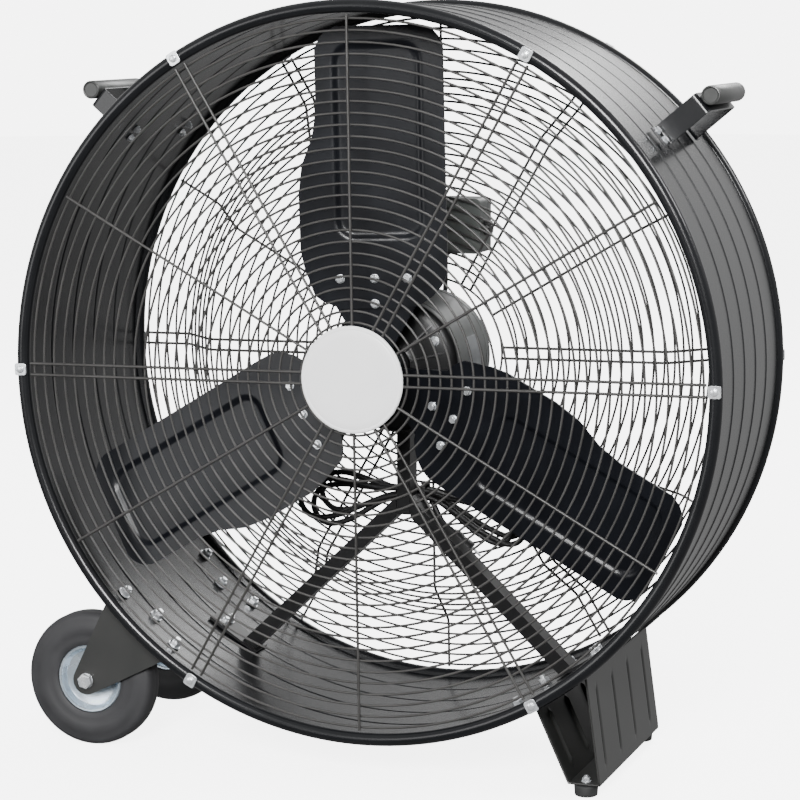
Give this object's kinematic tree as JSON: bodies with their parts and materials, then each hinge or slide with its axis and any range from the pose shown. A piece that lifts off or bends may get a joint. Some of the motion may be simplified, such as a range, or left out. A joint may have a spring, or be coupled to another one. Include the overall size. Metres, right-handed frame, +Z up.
{
  "type": "wheeled drum fan",
  "caption": "Steel drum fan on two wheels and a folded stand, with wire guards, paddle blades, two carrying handles and a coiled power cord",
  "frame": {"origin": "On the floor, at the centre of the fan's overall width and depth", "axes": "+Z up, -Y is the front that the air leaves by, -X is the side with the wheels, +X the side with the folded stand"},
  "size_m": [0.9802, 0.3846, 1.0133],
  "materials": {
    "black_paint": "semi-gloss black powder coat",
    "grey_paint": "satin grey enamel",
    "zinc": "bright zinc plate",
    "machined_steel": "turned steel",
    "windings": "varnished copper and laminated steel",
    "tyre_rubber": "moulded solid rubber",
    "foot_rubber": "moulded black rubber",
    "badge_plastic": "off-white moulded disc",
    "grey_plastic": "grey moulded plastic",
    "black_plastic": "black moulded plastic",
    "cord_jacket": "black flexible jacket"
  },
  "bodies": {
    "frame": {"drum_shell": "black_paint", "front_guard": "black_paint", "rear_guard": "black_paint", "rear_guard_middle": "black_paint", "handle_bracket_right": "black_paint", "handle_bracket_left": "black_paint", "wheel_bracket_front": "black_paint", "wheel_bracket_rear": "black_paint", "stand": "black_paint", "handle_grip_right": "grey_paint", "handle_grip_left": "grey_paint", "motor_shell": "grey_paint", "motor_front_bell": "grey_paint", "motor_rear_bell": "grey_paint", "motor_mount": "grey_paint", "strut_left": "grey_paint", "strut_right": "grey_paint", "guard_clip_front_1": "zinc", "guard_clip_front_2": "zinc", "guard_clip_front_3": "zinc", "guard_clip_front_4": "zinc", "guard_clip_front_5": "zinc", "guard_clip_front_6": "zinc", "guard_clip_rear_1": "zinc", "guard_clip_rear_2": "zinc", "guard_clip_rear_3": "zinc", "guard_clip_rear_4": "zinc", "guard_clip_rear_5": "zinc", "guard_clip_rear_6": "zinc", "axle_bolt_front": "zinc", "axle_bolt_rear": "zinc", "axle_nut_front": "zinc", "axle_nut_rear": "zinc", "bearing_front": "machined_steel", "bearing_rear": "machined_steel", "motor_stator": "windings", "rubber_foot_front": "foot_rubber", "rubber_foot_rear": "foot_rubber", "front_badge": "badge_plastic", "switch_box": "grey_plastic", "switch_box_cover": "grey_plastic", "cord_gland": "black_plastic", "cord_plug": "black_plastic", "motor_lead": "cord_jacket", "cord_lead": "cord_jacket", "cord_hank": "cord_jacket", "cord_tail": "cord_jacket"},
    "rotor": {"fan_hub": "black_paint", "blade_1": "black_paint", "blade_2": "black_paint", "blade_3": "black_paint", "motor_shaft": "machined_steel", "motor_rotor": "machined_steel"},
    "wheel_front": {"tyre_front": "tyre_rubber", "wheel_rim_front": "zinc", "wheel_bushing_front": "machined_steel"},
    "wheel_rear": {"tyre_rear": "tyre_rubber", "wheel_rim_rear": "zinc", "wheel_bushing_rear": "machined_steel"},
    "speed_knob": {"switch_knob": "black_plastic"}
  },
  "joints": [
    {"name": "rotor_spin", "type": "hinge", "parent": "frame", "child": "rotor", "pos_m": [0.00771, 0, 0.531], "axis": [0, 1, 0], "continuous": true},
    {"name": "wheel_spin_front", "type": "hinge", "parent": "frame", "child": "wheel_front", "pos_m": [-0.39721, -0.124, 0.093], "axis": [0, 1, 0], "continuous": true},
    {"name": "wheel_spin_rear", "type": "hinge", "parent": "frame", "child": "wheel_rear", "pos_m": [-0.39721, 0.124, 0.093], "axis": [0, 1, 0], "continuous": true},
    {"name": "speed_knob_turn", "type": "hinge", "parent": "frame", "child": "speed_knob", "pos_m": [0.0777, 0.1493, 0.702], "axis": [1, 0, 0], "range_deg": [-60, 60]}
  ]
}
